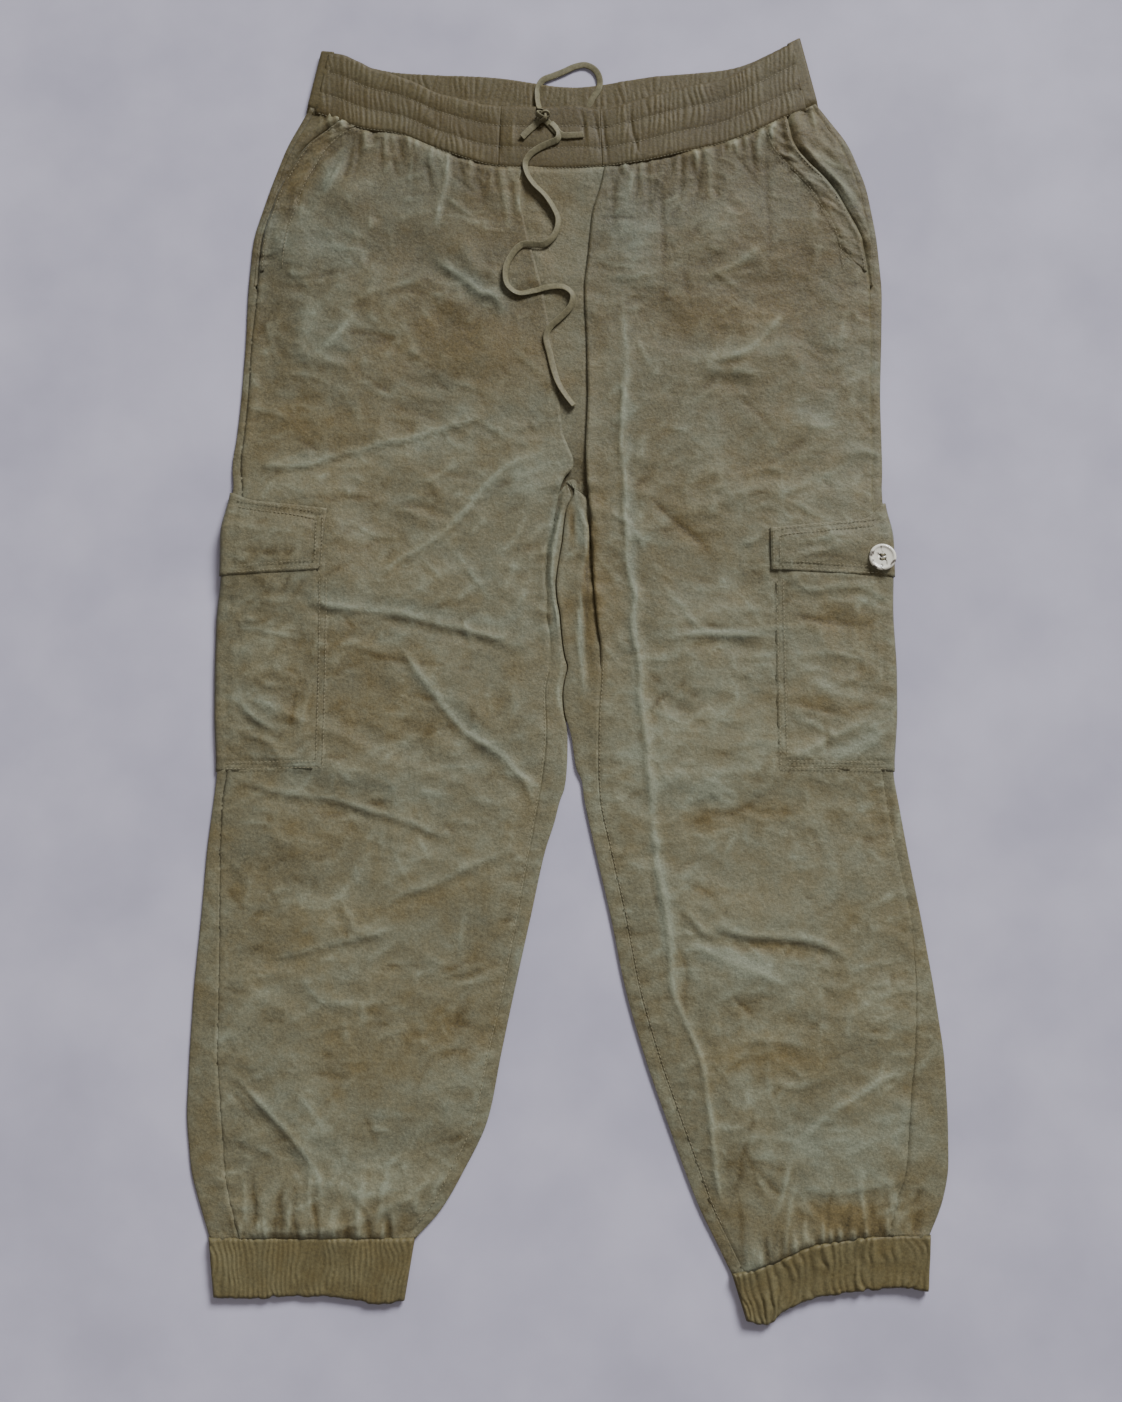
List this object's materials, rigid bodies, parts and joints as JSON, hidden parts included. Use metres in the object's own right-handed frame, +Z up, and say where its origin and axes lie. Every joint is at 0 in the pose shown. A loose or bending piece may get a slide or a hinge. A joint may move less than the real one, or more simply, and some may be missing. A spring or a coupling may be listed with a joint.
{
  "type": "cargo pants",
  "caption": "Pull-on cargo pants laid flat, front up, with elastic waistband, drawstring, slant pockets, cargo pockets with flaps and elastic cuffs.",
  "frame": {"origin": "centre of the footprint, on the ground the garment lies on", "axes": "+X towards the wearer's left, +Y from the cuffs to the waist, +Z up off the ground"},
  "size_m": [0.5591, 1.001, 0.0131],
  "materials": {
    "cloth": "soft olive twill with a silky sheen, creased",
    "band": "the same olive cloth, gathered over elastic",
    "tape": "flat olive drawstring tape of the same cloth",
    "button": "pale marbled four-hole button with grey-brown clouds"
  },
  "bodies": {
    "root": {"front_panel_left": "cloth", "front_panel_right": "cloth", "back_panel_left": "cloth", "back_panel_right": "cloth", "pocket_facing_left": "cloth", "pocket_facing_right": "cloth", "pocket_welt_left": "cloth", "pocket_welt_right": "cloth", "cargo_pocket_left": "cloth", "cargo_pocket_right": "cloth", "cargo_flap_left": "cloth", "cargo_flap_right": "cloth", "mock_fly": "cloth", "waistband_back": "band", "waistband_front_left": "band", "waistband_front_centre": "band", "waistband_front_right": "band", "cuff_left": "band", "cuff_right": "band", "drawstring_loop": "tape", "drawstring_short": "tape", "drawstring_exit": "tape", "drawstring_long": "tape", "drawstring_knot": "tape", "cargo_button_left": "button", "cargo_button_right": "button"}
  },
  "joints": []
}
